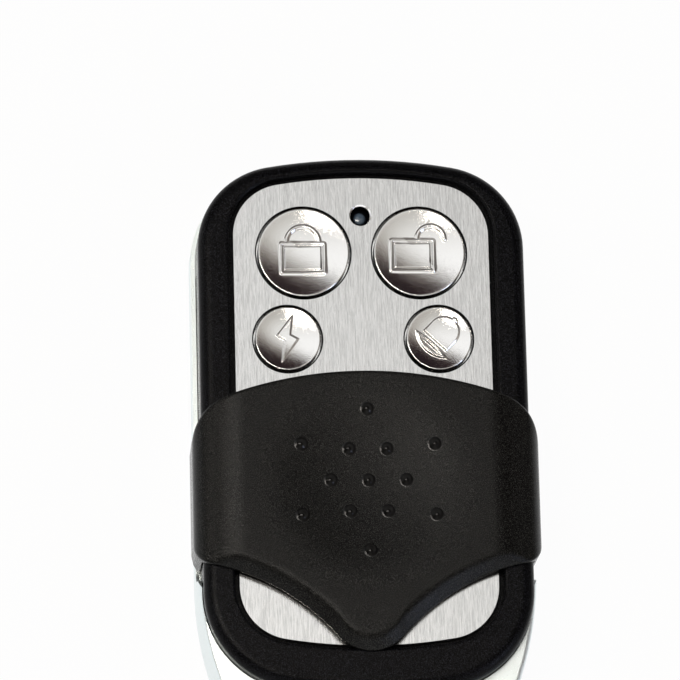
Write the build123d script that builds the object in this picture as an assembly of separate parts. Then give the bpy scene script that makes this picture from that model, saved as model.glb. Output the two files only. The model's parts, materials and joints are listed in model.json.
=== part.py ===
from build123d import *
from math import cos, hypot, radians, sin, sqrt
import os

# Sliding-cover key fob remote. Millimetres, +X to the right of the face, +Y to the end with the
# lamp, +Z out of the face. The origin is under the middle of the fob, on the surface it lies on.

# Case, seen from above; its length, width and height follow from the keys, the board and the cell
case_top_corner = 9.0
case_bottom_corner = 10.5
end_bow_radius = 57.0
rear_margin = 0.45
tail_side_radius = 35.0
tail_curve_start = 13.4
tail_bow = 1.2
tail_corner = 5.0

# Case, seen from the side
rear_height = 5.2
rear_wall = 1.5
rear_floor = 1.2
rear_edge_round = 1.5
front_wall = 2.0
rim_outer_round = 1.3
rim_inner_round = 0.3
tongue_depth = 0.8
tongue_gap = 0.1
collar_height = 9.5
collar_start = 13.2
collar_run = 0.8
collar_bend = 1.2
collar_gap = 0.08
collar_round = 0.5

# Key-ring eye in the tail
eye_length = 13.5
eye_width = 4.7
eye_bar = 2.5
eye_to_case = 1.0
eye_edge_round = 0.5

# Face plate in its recess
rim_side = 3.6
rim_top = 2.0
rim_bottom = 4.9
plate_corner = 5.8
plate_sunk = 0.8
plate_thickness = 0.5
plate_gap = 0.35
plate_chamfer = 0.15
film_thickness = 0.1
film_inset = 0.3
deck_thickness = 1.0

# Keys: the upper row is measured down from the top edge of the face plate, the rest from its
# neighbours and from the plate's sides
big_key_diameter = 9.7
big_key_spacing = 2.6
big_key_edge = 3.55
small_key_diameter = 6.95
small_key_edge = 2.225
key_row_gap = 1.125
key_gap = 0.14
key_proud = 0.25
key_flange_reach = 0.6
key_flange_thickness = 0.6
key_flange_gap = 0.1
key_wall = 0.9
key_roof = 0.8
key_post_diameter = 3.6
key_edge_round = 0.25
key_land = 0.35
big_key_dish = 0.35
small_key_dish = 0.28
key_travel = 0.3

# Raised signs on the keys, from the middle of each cap
sign_ridge = 0.36
fine_ridge = 0.27
sign_below_rim = 0.05
padlock_corner = 0.35
lock_body = (4.9, 3.6)
lock_body_middle = (-0.05, -0.6)
lock_arch_middle = (-0.05, 1.15)
lock_arch_radius = 1.92
unlock_body = (4.8, 3.7)
unlock_body_middle = (-0.7, -0.3)
unlock_arch_middle = (1.24, 1.5)
unlock_arch_radius = 1.64
bolt_corners = [(0.53, 2.54), (-1.13, 0.39), (-0.33, -0.1), (-0.61, -2.46), (1.11, 0.01), (0.28, 0.47)]
bell_middle = (-0.85, -0.65)
bell_tip = -44.0
bell_lip_half = 2.1
bell_lip_above = 0.25
bell_lip_below = 0.85
bell_crown_radius = 1.6
bell_crown_up = 2.0
bell_leg = 1.3
bell_knob_up = 3.6
bell_knob_radius = 0.3

# Tact switches under the keys
switch_side = 6.0
switch_height = 4.3
switch_base_height = 3.2
switch_base_floor = 0.8
switch_cover_thickness = 0.3
switch_well_diameter = 4.8
plunger_diameter = 3.5
plunger_flange_diameter = 4.3
plunger_flange_thickness = 0.5
plunger_gap = 0.1
plunger_nib_diameter = 1.8
dome_diameter = 4.6
dome_rise = 0.25
dome_thickness = 0.1
pin_width = 0.7
pin_thickness = 0.3
pin_gap = 0.1
pin_pitch_y = 4.5
pin_below_board = 1.2
pin_floor_gap = 0.3

# Lamp beside the upper keys
lamp_hole_diameter = 2.06
lamp_down = 4.25
lamp_diameter = 3.0
lamp_flange_diameter = 3.8
lamp_flange_thickness = 1.0
lamp_standoff = 0.35
lamp_below_plate = 0.7
lamp_gap = 0.15
lamp_lead_pitch = 1.9
lead_side = 0.5

# Circuit board and what is soldered to it, between the lower keys and the cell
board_parts_length = 18.61
board_thickness = 1.2
board_clearance = 0.5
board_boss_gap = 0.3
hole_slack = 0.25
board_post_diameter = 2.2
board_post_inset = 2.6
post_gap = 0.1
chip_width = 3.9
chip_height = 1.5
chip_standoff = 0.15
chip_chamfer = 0.19
lead_pitch = 1.27
lead_width = 0.42
lead_thickness = 0.2
lead_reach = 1.05
encoder_lead_pairs = 7
memory_lead_pairs = 4
resonator_diameter = 8.2
resonator_height = 3.2
resonator_flange_reach = 0.45
resonator_flange_thickness = 0.5
can_round = 0.4
crystal_length = 10.4
crystal_width = 3.8
crystal_height = 2.6
transistor_length = 2.9
transistor_width = 1.6
transistor_height = 1.1
trace_thickness = 0.07
trace_width = 0.7
trace_inset = 0.35
passive_length = 1.6
passive_width = 0.8
passive_height = 0.5
passive_pitch = 1.9
passive_from_post = 2.7
part_gap = 0.45
encoder_x = -4.6
memory_x = 6.9
crystal_x = -4.4
transistor_x = -0.6
first_capacitor_x = -7.5

# Battery, a 12 V cell lying across the fob
battery_diameter = 8.0
battery_length = 28.2
battery_gap = 0.15
battery_headroom = 0.25
sleeve_thickness = 0.12
sleeve_setback = 0.6
battery_nub_diameter = 5.0
battery_nub_height = 0.8
contact_thickness = 0.3
contact_height = 3.4
contact_foot = 1.6
contact_foot_length = 2.4
contact_room = 0.75
cradle_thickness = 1.2
cradle_offset = 9.0
cradle_height = 2.4

# Case screws, driven in from the back
screw_diameter = 1.7
screw_slack = 0.1
screw_length = 7.0
screw_head_diameter = 2.8
screw_head_height = 1.1
screw_head_depth = 0.35
screw_head_round = 0.28
screw_point = 0.48
screw_slot_width = 0.5
screw_slot_depth = 0.45
boss_skin = 0.2
boss_gap = 0.28
key_boss_gap = 0.1
cell_boss_gap = 0.8
boss_wall = 0.5
lower_boss_offset = 6.5
upper_boss_turn = 25.0

# Slide cover, parked at the lower end; its outline is measured from its tip
slide_wall = 0.8
slide_side_gap = 0.15
slide_top_gap = 0.25
slide_skin = 1.3
slide_shoulder_width = 4.0
slide_shoulder_fall = 1.75
slide_shoulder_round = 2.4
slide_crest_round = 0.5
slide_inner_round = 1.6
slide_length = 29.85
slide_top_radius = 42.5
slide_top_corner = 5.0
slide_wing_up = 9.6
slide_wing_corner = 2.4
slide_tip_round = 4.5
wing_arc_beyond = 2.8
slide_tip_overlap = 0.7
bevel_width = 1.6
bevel_edge = 0.2
lip_height = 1.1
lip_reach = 0.9
lip_gap = 0.15
lip_above_parting = 0.85
lip_setback = 1.2
lip_below_apex = 7.55
closed_margin = 2.35

# Thumb dish and its raised dots
dish_radius = 9.0
dish_depth = 0.7
dish_back_bulge = 0.5
dish_up = 17.9
dot_diameter = 1.35
dot_height = 0.3
dot_round = 0.24
inner_ring_radius = 4.15
outer_ring_radius = 7.95

# Sizes and places that follow from the sizes above
cell_room = battery_gap + battery_diameter + battery_headroom
switch_room = key_flange_gap + key_flange_thickness + switch_height
switch_room += board_thickness + pin_below_board + pin_floor_gap
case_height = rear_floor + max(cell_room, switch_room) + deck_thickness
case_height += film_thickness + plate_thickness + plate_sunk
half_case = battery_length / 2 + battery_gap + contact_thickness + contact_room + front_wall
interior_half = half_case - front_wall
interior_bow = end_bow_radius - front_wall
interior_corner = case_top_corner - front_wall
tail_reach = eye_bar + eye_width + eye_to_case
pin_pitch_x = switch_side + 2 * pin_gap + pin_thickness
big_key_x = (big_key_diameter + big_key_spacing) / 2
small_key_x = half_case - rim_side - small_key_edge - small_key_diameter / 2

# Screw bosses: the upper two are tucked into the corners of the hollow, below the case's top
boss_diameter = screw_head_diameter + 2 * (screw_slack + boss_skin)
corner_x = interior_half - interior_corner
corner_drop = end_bow_radius - sqrt((interior_bow - interior_corner) ** 2 - corner_x**2)
boss_reach = interior_corner - boss_diameter / 2 - boss_gap
upper_boss_x = corner_x + boss_reach * cos(radians(upper_boss_turn))
upper_boss_drop = corner_drop - boss_reach * sin(radians(upper_boss_turn))
lower_boss_sag = interior_bow - sqrt(interior_bow**2 - lower_boss_offset**2)
lower_boss_rise = front_wall + lower_boss_sag + boss_diameter / 2 + boss_gap

# Key rows: the upper one also stays clear of the upper bosses
key_to_boss = (big_key_diameter + boss_diameter) / 2 + key_flange_reach + key_boss_gap
boss_below_key = sqrt(max(0, key_to_boss**2 - (upper_boss_x - big_key_x) ** 2))
lowest_start = upper_boss_drop - rim_top + boss_below_key
big_key_down = max(big_key_edge + big_key_diameter / 2, lowest_start)
small_key_down = big_key_down + (big_key_diameter + small_key_diameter) / 2 + key_row_gap

# Along the case, from its top: the keys, the board's parts, the cell and the lower bosses
case_length = rim_top + small_key_down + small_key_diameter / 2 + key_flange_reach
case_length += board_parts_length + board_clearance + battery_diameter
case_length += cell_boss_gap + boss_diameter / 2 + lower_boss_rise
case_top_y = (case_length + tail_reach - rear_margin) / 2
case_bottom_y = case_top_y - case_length
tail_end_y = case_bottom_y - tail_reach
plate_top_y = case_top_y - rim_top
plate_bottom_y = case_bottom_y + rim_bottom
row_y = plate_top_y - small_key_down - small_key_diameter / 2 - key_flange_reach
board_end_y = row_y - board_parts_length

# Levels above the surface the fob lies on, and places of the slide and the lamp
plate_top_z = case_height - plate_sunk
plate_bottom_z = plate_top_z - plate_thickness
deck_top_z = plate_bottom_z - film_thickness
deck_bottom_z = deck_top_z - deck_thickness
key_top_z = plate_top_z + key_proud
key_flange_z = deck_bottom_z - key_flange_gap
key_bottom_z = key_flange_z - key_flange_thickness
board_top_z = key_bottom_z - switch_height
board_bottom_z = board_top_z - board_thickness
slide_tip_y = plate_bottom_y - slide_tip_overlap
slide_apex_y = slide_tip_y + slide_length
slide_wing_y = slide_tip_y + slide_wing_up
slide_half = half_case + slide_side_gap + slide_wall
slide_crest_half = slide_half - slide_shoulder_width
slide_under_z = case_height + slide_top_gap
slide_top_z = slide_under_z + slide_skin
slide_travel = plate_top_y - closed_margin - slide_apex_y
lip_bottom_z = rear_height + lip_above_parting
lip_top_y = slide_apex_y - lip_below_apex
lip_bottom_y = slide_wing_y + lip_setback
dish_y = slide_tip_y + dish_up
lamp_y = plate_top_y - lamp_down
lamp_base_z = board_top_z + lamp_standoff
lamp_top_z = plate_bottom_z - lamp_below_plate

KEYS = {
    "lock": (-big_key_x, plate_top_y - big_key_down, big_key_diameter, big_key_dish),
    "unlock": (big_key_x, plate_top_y - big_key_down, big_key_diameter, big_key_dish),
    "bolt": (-small_key_x, plate_top_y - small_key_down, small_key_diameter, small_key_dish),
    "bell": (small_key_x, plate_top_y - small_key_down, small_key_diameter, small_key_dish),
}

STAND = (Align.CENTER, Align.CENTER, Align.MIN)


def block(x_size, y_size, z_low, z_high, x=0.0, y=0.0):
    """A box from z_low to z_high, centred at x, y."""
    return Pos(x, y, z_low) * Box(x_size, y_size, z_high - z_low, align=STAND)


def disc(diameter, z_low, z_high, x=0.0, y=0.0):
    """A round post from z_low to z_high at x, y."""
    return Pos(x, y, z_low) * Cylinder(diameter / 2, z_high - z_low, align=STAND)


def prism(sketch, z_low, z_high):
    """A flat outline raised from z_low to z_high."""
    return extrude(Pos(0, 0, z_low) * sketch, z_high - z_low)


def cap_ball(radius, depth):
    """Radius of the ball whose cap has this radius and depth."""
    return (radius**2 + depth**2) / (2 * depth)


def end_sag(half_width, bow_radius):
    """How far a bowed end falls back between its middle and its corner."""
    return bow_radius - sqrt(bow_radius**2 - half_width**2)


def bowed_outline(half, top, bottom, top_corner, bottom_corner, bow_radius):
    """A rectangle with rounded corners and two bowed ends."""
    sag = end_sag(half, bow_radius)
    with BuildSketch() as sketch:
        with BuildLine():
            ThreePointArc((-half, top - sag), (0, top), (half, top - sag))
            Line((half, top - sag), (half, bottom + sag))
            ThreePointArc((half, bottom + sag), (0, bottom), (-half, bottom + sag))
            Line((-half, bottom + sag), (-half, top - sag))
        make_face()
        fillet(sketch.vertices().group_by(Axis.Y)[-1], top_corner)
        fillet(sketch.vertices().group_by(Axis.Y)[0], bottom_corner)
    return sketch.sketch


def case_outline(inset):
    """The front shell's outline, moved inwards by inset."""
    top = case_top_y - inset
    bottom = case_bottom_y + inset
    corners = (case_top_corner - inset, case_bottom_corner - inset)
    return bowed_outline(half_case - inset, top, bottom, *corners, end_bow_radius - inset)


def plate_outline(inset):
    """The face plate's outline, moved inwards by inset."""
    half = half_case - rim_side - inset
    top = plate_top_y - inset
    bottom = plate_bottom_y + inset
    corner = plate_corner - inset
    return bowed_outline(half, top, bottom, corner, corner, end_bow_radius - rim_side - inset)


def rear_outline():
    """The rear shell's outline: the case with a margin round it, drawn out into the tail."""
    half = half_case + rear_margin
    top = case_top_y + rear_margin
    top_corner_y = top - end_sag(half, end_bow_radius + rear_margin)
    curve_y = case_bottom_y + tail_curve_start
    corner_y = tail_end_y + tail_bow
    reach = curve_y - corner_y
    tail_half = half - end_sag(reach, tail_side_radius)
    mid_half = half - end_sag(reach / 2, tail_side_radius)
    mid_y = curve_y - reach / 2
    with BuildSketch() as sketch:
        with BuildLine():
            ThreePointArc((-half, top_corner_y), (0, top), (half, top_corner_y))
            Line((half, top_corner_y), (half, curve_y))
            ThreePointArc((half, curve_y), (mid_half, mid_y), (tail_half, corner_y))
            ThreePointArc((tail_half, corner_y), (0, tail_end_y), (-tail_half, corner_y))
            ThreePointArc((-tail_half, corner_y), (-mid_half, mid_y), (-half, curve_y))
            Line((-half, curve_y), (-half, top_corner_y))
        make_face()
        fillet(sketch.vertices().group_by(Axis.Y)[-1], case_top_corner + rear_margin)
        fillet(sketch.vertices().group_by(Axis.Y)[0], tail_corner)
    return sketch.sketch


def boss_places():
    """Middles of the four screw bosses, two at the top and two at the bottom of the hollow."""
    upper_y = case_top_y - upper_boss_drop
    lower_y = case_bottom_y + lower_boss_rise
    upper = [(-upper_boss_x, upper_y), (upper_boss_x, upper_y)]
    return upper + [(-lower_boss_offset, lower_y), (lower_boss_offset, lower_y)]


battery_z = rear_floor + battery_gap + battery_diameter / 2
battery_y = board_end_y - board_clearance - battery_diameter / 2
contact_x = battery_length / 2 + battery_gap
board_post_x = interior_half - board_clearance - board_post_inset


def board_post_places():
    """Middles of the posts that carry the circuit board, the upper two between the key rows."""
    lower_y = board_end_y + contact_foot_length + board_post_diameter
    post_to_key = (big_key_diameter + board_post_diameter) / 2 + key_flange_reach + boss_gap
    below_key = sqrt(max(0, post_to_key**2 - (board_post_x - big_key_x) ** 2))
    upper_y = plate_top_y - max((big_key_down + small_key_down) / 2, big_key_down + below_key)
    return [(side * board_post_x, y) for side in (-1, 1) for y in (lower_y, upper_y)]


def wing_arc():
    """Centre and radius of the right-hand hollow curve in the slide's lower edge.

    The curve passes through the wing's corner and touches the round tip from outside, which gives
    a quadratic equation for its radius.
    """
    x = slide_half + wing_arc_beyond
    tip = slide_tip_round
    rise = slide_wing_up - tip
    known = x**2 - wing_arc_beyond**2 + rise**2 - tip**2
    square = 4 * (rise**2 - tip**2)
    linear = 4 * known * tip
    constant = known**2 + 4 * rise**2 * wing_arc_beyond**2
    radius = (sqrt(linear**2 + 4 * square * constant) - linear) / (2 * square)
    y = slide_wing_y - sqrt(radius**2 - wing_arc_beyond**2)
    return x, y, radius


def slide_lower_edge(side, inset):
    """Four points of the slide's right lower edge, moved inwards by inset, from x = side to the tip."""
    x, y, radius = wing_arc()
    hollow = radius + inset
    tip = slide_tip_round - inset
    tip_centre_y = slide_tip_y + slide_tip_round
    apart = hypot(x, tip_centre_y - y)
    touch_x = tip * x / apart
    touch_y = tip_centre_y - tip * (tip_centre_y - y) / apart
    mid_x = (side + touch_x) / 2
    start = (side, y + sqrt(hollow**2 - (x - side) ** 2))
    middle = (mid_x, y + sqrt(hollow**2 - (x - mid_x) ** 2))
    return start, middle, (touch_x, touch_y), (0, tip_centre_y - tip)


def mirrored(point):
    """The same point on the other side of the middle line."""
    return (-point[0], point[1])


def slide_outline():
    """The slide cover seen from above: bowed top, straight sides, hollow wings and a round tip."""
    wing, hollow, touch, tip = slide_lower_edge(slide_half, 0)
    shoulder = (slide_half, slide_apex_y - end_sag(slide_half, slide_top_radius))
    with BuildSketch() as sketch:
        with BuildLine():
            ThreePointArc(mirrored(shoulder), (0, slide_apex_y), shoulder)
            Line(shoulder, wing)
            ThreePointArc(wing, hollow, touch)
            ThreePointArc(touch, tip, mirrored(touch))
            ThreePointArc(mirrored(touch), mirrored(hollow), mirrored(wing))
            Line(mirrored(wing), mirrored(shoulder))
        make_face()
        sides = sketch.vertices().group_by(Axis.X)
        corners = sides[0] + sides[-1]
        shoulders = corners.filter_by(lambda corner: corner.Y > dish_y)
        wings = corners.filter_by(lambda corner: corner.Y < dish_y)
        fillet(shoulders, slide_top_corner)
        fillet(wings, slide_wing_corner)
    return sketch.sketch


def bevel_outline(inset):
    """The slide's lower edge, with room above and beside it, so that only that edge is bevelled."""
    side = slide_half + 1
    top_y = slide_apex_y + 1
    wing, hollow, touch, tip = slide_lower_edge(side, inset)
    with BuildSketch() as sketch:
        with BuildLine():
            Line((-side, top_y), (side, top_y))
            Line((side, top_y), wing)
            ThreePointArc(wing, hollow, touch)
            ThreePointArc(touch, tip, mirrored(touch))
            ThreePointArc(mirrored(touch), mirrored(hollow), mirrored(wing))
            Line(mirrored(wing), (-side, top_y))
        make_face()
    return sketch.sketch


def channel_face(points, rounds):
    """A face inside a polyline with rounded corners, closed along its open side."""
    with BuildSketch() as sketch:
        with BuildLine():
            FilletPolyline(*points, radius=rounds)
            Line(points[-1], points[0])
        make_face()
    return sketch.sketch


def slide_section():
    """The slide cover cut across: a skin over the face, sloped shoulders and two sides."""
    shoulder_z = slide_top_z - slide_shoulder_fall
    inner_half = slide_half - slide_wall
    outer = [
        (-slide_half, lip_bottom_z),
        (-slide_half, shoulder_z),
        (-slide_crest_half, slide_top_z),
        (slide_crest_half, slide_top_z),
        (slide_half, shoulder_z),
        (slide_half, lip_bottom_z),
    ]
    inner = [
        (-inner_half, lip_bottom_z - 1),
        (-inner_half, slide_under_z),
        (inner_half, slide_under_z),
        (inner_half, lip_bottom_z - 1),
    ]
    outer_rounds = [slide_shoulder_round, slide_crest_round, slide_crest_round, slide_shoulder_round]
    return channel_face(outer, outer_rounds) - channel_face(inner, [slide_inner_round, slide_inner_round])


def dish_sphere(z_edge, depth):
    """A large ball whose underside makes the thumb dish, depth deep below z_edge."""
    ball = cap_ball(dish_radius, depth)
    return Pos(0, dish_y, z_edge - depth + ball) * Sphere(ball)


def slide_dots():
    """Thirteen raised dots: one in the middle, and two rings of six, turned against each other."""
    ball = cap_ball(dish_radius, dish_depth)
    places = [(0.0, 0.0)]
    for ring_radius, turn in ((inner_ring_radius, 0), (outer_ring_radius, 30)):
        for step in range(6):
            angle = radians(60 * step + turn)
            places.append((ring_radius * cos(angle), ring_radius * sin(angle)))
    dots = []
    for x, y in places:
        dish_z = slide_top_z - dish_depth + ball - sqrt(ball**2 - x**2 - y**2)
        dot = disc(dot_diameter, dish_z - dot_height, dish_z + dot_height, x, dish_y + y)
        dots.append(fillet(dot.edges().sort_by(Axis.Z)[-1], dot_round))
    return dots


def slide_cover():
    """The sliding cover with its bevelled lower edge, thumb dish, dots and the lips that hold it."""
    section_plane = Plane(origin=(0, slide_apex_y, 0), x_dir=(1, 0, 0), z_dir=(0, -1, 0))
    cover = extrude(section_plane * slide_section(), slide_length)
    edge_z = slide_under_z + bevel_edge
    low_face = Pos(0, 0, edge_z) * bevel_outline(0)
    high_face = Pos(0, 0, slide_top_z) * bevel_outline(bevel_width)
    bevel = loft([low_face, high_face], ruled=True)
    lower = cover & prism(slide_outline(), lip_bottom_z, edge_z)
    upper = cover & prism(slide_outline(), edge_z, slide_top_z) & bevel
    cover = lower + upper
    bulge = disc(2 * dish_radius, slide_under_z - dish_back_bulge, slide_under_z + bevel_edge, 0, dish_y)
    cover += bulge & dish_sphere(slide_under_z, dish_back_bulge)
    cover -= dish_sphere(slide_top_z, dish_depth)
    lip_length = lip_top_y - lip_bottom_y
    lip_width = slide_wall + lip_reach
    for side in (-1, 1):
        x = side * (slide_half - lip_width / 2)
        lip_top_z = lip_bottom_z + lip_height
        cover += block(lip_width, lip_length, lip_bottom_z, lip_top_z, x, lip_bottom_y + lip_length / 2)
    for dot in slide_dots():
        cover += dot
    return cover


def front_shell():
    """Black upper shell: rounded rim, recess for the plate, deck, bosses and the slide's grooves."""
    shell = prism(case_outline(0), rear_height, case_height)
    shell -= prism(plate_outline(-plate_gap), deck_top_z, case_height + 1)
    rim = shell.faces().sort_by(Axis.Z)[-1]
    shell = fillet(rim.outer_wire().edges(), rim_outer_round)
    rim = shell.faces().sort_by(Axis.Z)[-1]
    shell = fillet(rim.inner_wires()[0].edges(), rim_inner_round)
    shell -= prism(case_outline(front_wall), rear_height, deck_bottom_z)
    tongue = case_outline(rear_wall - rear_margin + tongue_gap) - case_outline(front_wall)
    shell += prism(tongue, rear_height - tongue_depth, rear_height)
    for x, y in boss_places():
        boss = disc(boss_diameter, rear_height, deck_top_z, x, y)
        shell += boss & prism(case_outline(boss_wall), rear_height, deck_top_z)
        shell -= disc(screw_diameter + 2 * screw_slack, rear_height, deck_bottom_z, x, y)
    for x, y in board_post_places():
        shell += disc(board_post_diameter, board_top_z + post_gap, deck_top_z, x, y)
    for x, y, diameter, dish in KEYS.values():
        shell -= disc(diameter + 2 * key_gap, deck_bottom_z, case_height, x, y)
    shell -= disc(lamp_diameter + 2 * lamp_gap, deck_bottom_z, case_height, 0, lamp_y)
    groove_top = lip_top_y + slide_travel + lip_gap
    groove_bottom = lip_bottom_y - lip_gap
    groove_low_z = lip_bottom_z - lip_gap
    groove_high_z = lip_bottom_z + lip_height + lip_gap
    for side in (-1, 1):
        groove = block(2 * lip_reach, groove_top - groove_bottom, groove_low_z, groove_high_z)
        shell -= Pos(side * half_case, (groove_top + groove_bottom) / 2, 0) * groove
    return shell


def shell_side():
    """The rear shell seen from the side: low along the case, raised round its lower end and the tail."""
    start_y = case_bottom_y + collar_start
    ends = [(case_top_y + 1, rear_height), (tail_end_y - 1, collar_height)]
    slope = [(start_y, rear_height), (start_y - collar_run, collar_height)]
    with BuildSketch() as profile:
        with BuildLine():
            FilletPolyline(ends[0], *slope, ends[1], radius=collar_bend)
            Polyline(ends[1], (tail_end_y - 1, -1), (case_top_y + 1, -1), ends[0])
        make_face()
    plane = Plane(origin=(-case_length / 2, 0, 0), x_dir=(0, 1, 0), z_dir=(1, 0, 0))
    return extrude(plane * profile.sketch, case_length)


def rear_shell():
    """Bright lower shell with the tail, its key-ring eye, screw posts, board posts and battery cradle."""
    eye = Pos(0, tail_end_y + eye_bar + eye_width / 2) * SlotOverall(eye_length, eye_width)
    shell = prism(rear_outline() - eye, 0, collar_height)
    for end, edge_round in ((0, rear_edge_round), (-1, collar_round)):
        shell = fillet(shell.faces().sort_by(Axis.Z)[end].outer_wire().edges(), edge_round)
        shell = fillet(shell.faces().sort_by(Axis.Z)[end].inner_wires()[0].edges(), eye_edge_round)
    shell &= shell_side()
    shell -= prism(case_outline(-collar_gap), rear_height, collar_height)
    shell -= prism(case_outline(rear_wall - rear_margin), rear_floor, rear_height)
    for x, y in boss_places():
        shell += disc(boss_diameter, 0, rear_height, x, y)
        shell -= disc(screw_diameter + 2 * screw_slack, 0, rear_height, x, y)
        head_top = screw_head_depth + screw_head_height
        shell -= disc(screw_head_diameter + 2 * screw_slack, 0, head_top, x, y)
    for x, y in board_post_places():
        shell += disc(board_post_diameter, rear_floor, board_bottom_z, x, y)
    for side in (-1, 1):
        x = side * cradle_offset
        cradle_top = rear_floor + cradle_height
        cradle = block(cradle_thickness, battery_diameter, rear_floor, cradle_top, x, battery_y)
        shell += cradle - cell_cylinder(battery_diameter + 2 * battery_gap, -battery_length, battery_length)
    return shell


def face_plate():
    """Brushed aluminium plate with the key and lamp holes, its upper edges chamfered."""
    plate = prism(plate_outline(0), plate_bottom_z, plate_top_z)
    for x, y, diameter, dish in KEYS.values():
        plate -= disc(diameter + 2 * key_gap, plate_bottom_z, plate_top_z, x, y)
    plate -= disc(lamp_hole_diameter, plate_bottom_z, plate_top_z, 0, lamp_y)
    face = plate.faces().sort_by(Axis.Z)[-1]
    return chamfer(face.edges(), plate_chamfer)


def plate_film():
    """Double-sided film that holds the plate on the deck."""
    film = prism(plate_outline(film_inset), deck_top_z, plate_bottom_z)
    for x, y, diameter, dish in KEYS.values():
        film -= disc(diameter + 2 * key_gap + 2 * film_inset, deck_top_z, plate_bottom_z, x, y)
    return film - disc(lamp_diameter + 2 * lamp_gap, deck_top_z, plate_bottom_z, 0, lamp_y)


def ring_face(outline, width):
    """The band just inside a closed outline."""
    return outline - offset(outline, -width)


def arch_face(middle, outer_radius, leg=0.0):
    """Half a ring with its open side down, on legs of the given length."""
    inner_radius = outer_radius - sign_ridge
    ring = Circle(outer_radius) - Circle(inner_radius)
    arch = ring & Pos(0, outer_radius) * Rectangle(2 * outer_radius, 2 * outer_radius)
    if leg > 0:
        leg_x = outer_radius - sign_ridge / 2
        arch += Pos(-leg_x, -leg / 2) * Rectangle(sign_ridge, leg)
        arch += Pos(leg_x, -leg / 2) * Rectangle(sign_ridge, leg)
    return Pos(*middle) * arch


def lock_sign():
    """Closed padlock: a framed body and a shackle with both ends in it."""
    body = Pos(*lock_body_middle) * RectangleRounded(*lock_body, padlock_corner)
    return ring_face(body, sign_ridge) + arch_face(lock_arch_middle, lock_arch_radius)


def unlock_sign():
    """Open padlock: the shackle stands to the right with its far end free."""
    body = Pos(*unlock_body_middle) * RectangleRounded(*unlock_body, padlock_corner)
    return ring_face(body, sign_ridge) + arch_face(unlock_arch_middle, unlock_arch_radius)


def bolt_sign():
    """Lightning bolt outline with six corners."""
    return ring_face(make_face(Polyline(*bolt_corners, close=True)), fine_ridge)


def bell_sign():
    """Bell tipped to the upper right: a domed body, a thick lip and a small crown knob."""
    left = (-bell_lip_half, 0)
    right = (bell_lip_half, 0)
    with BuildSketch() as lip:
        with BuildLine():
            ThreePointArc(left, (0, bell_lip_above), right)
            ThreePointArc(right, (0, -bell_lip_below), left)
        make_face()
    bell = arch_face((0, bell_crown_up), bell_crown_radius, bell_leg)
    bell += ring_face(lip.sketch, fine_ridge)
    bell += Pos(0, bell_knob_up) * Circle(bell_knob_radius)
    return Pos(*bell_middle) * Rot(0, 0, bell_tip) * bell


SIGNS = {"lock": lock_sign, "unlock": unlock_sign, "bolt": bolt_sign, "bell": bell_sign}


def key_cap(name):
    """A dished cap with its raised sign, a retaining flange and a hollow back round a post."""
    x, y, diameter, dish = KEYS[name]
    cap = disc(diameter, key_bottom_z, key_top_z)
    cap = fillet(cap.edges().sort_by(Axis.Z)[-1], key_edge_round)
    dish_edge = diameter / 2 - key_land
    ball = cap_ball(dish_edge, dish)
    cap -= Pos(0, 0, key_top_z - dish + ball) * Sphere(ball)
    cap += prism(SIGNS[name](), key_top_z - dish - key_roof / 2, key_top_z - sign_below_rim)
    cap += disc(diameter + 2 * key_flange_reach, key_bottom_z, key_flange_z)
    hollow = disc(diameter - 2 * key_wall, key_bottom_z, key_top_z - dish - key_roof)
    cap -= hollow - disc(key_post_diameter, key_bottom_z, key_top_z)
    return Pos(x, y, 0) * cap


def switch_base(x, y):
    """Moulded switch body with a round well for the dome and the plunger."""
    top = board_top_z + switch_base_height
    base = block(switch_side, switch_side, board_top_z, top, x, y)
    return base - disc(switch_well_diameter, board_top_z + switch_base_floor, top, x, y)


def switch_cover(x, y):
    """Thin steel plate that closes the switch round its plunger."""
    bottom = board_top_z + switch_base_height
    cover = block(switch_side, switch_side, bottom, bottom + switch_cover_thickness, x, y)
    hole = disc(plunger_diameter + 2 * plunger_gap, bottom, bottom + switch_cover_thickness, x, y)
    return cover - hole


def switch_dome(x, y):
    """Sprung snap disc on the floor of the switch, with the contact's shallow crown."""
    ball = cap_ball(dome_diameter / 2, dome_rise)
    floor = board_top_z + switch_base_floor
    centre = Pos(x, y, floor + dome_rise - ball)
    dome = centre * Sphere(ball) - centre * Sphere(ball - dome_thickness)
    return dome & disc(dome_diameter, floor, floor + 2 * dome_rise, x, y)


def switch_plunger(x, y):
    """Round plunger with a flange that stays under the switch's steel plate."""
    flange_top = board_top_z + switch_base_height - plunger_gap
    flange_bottom = flange_top - plunger_flange_thickness
    nib_bottom = board_top_z + switch_base_floor + dome_rise + key_travel + plunger_gap
    plunger = disc(plunger_diameter, flange_bottom, key_bottom_z, x, y)
    plunger += disc(plunger_flange_diameter, flange_bottom, flange_top, x, y)
    return plunger + disc(plunger_nib_diameter, nib_bottom, flange_top, x, y)


def switch_pin_places(x, y):
    """Middles of a switch's four pins."""
    return [(x + i * pin_pitch_x / 2, y + j * pin_pitch_y / 2) for i in (-1, 1) for j in (-1, 1)]


def switch_pins():
    """Four flat pins for each switch, down through the board."""
    low = board_bottom_z - pin_below_board
    high = board_top_z + switch_base_height / 2
    pins = []
    for x, y, diameter, dish in KEYS.values():
        for pin_x, pin_y in switch_pin_places(x, y):
            pins.append(block(pin_thickness, pin_width, low, high, pin_x, pin_y))
    return Compound(children=pins)


def lamp():
    """Round indicator lamp with a domed top under the small hole in the plate."""
    dome_z = lamp_top_z - lamp_diameter / 2
    body = disc(lamp_flange_diameter, lamp_base_z, lamp_base_z + lamp_flange_thickness, 0, lamp_y)
    body += disc(lamp_diameter, lamp_base_z, dome_z, 0, lamp_y)
    return body + Pos(0, lamp_y, dome_z) * Sphere(lamp_diameter / 2)


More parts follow.
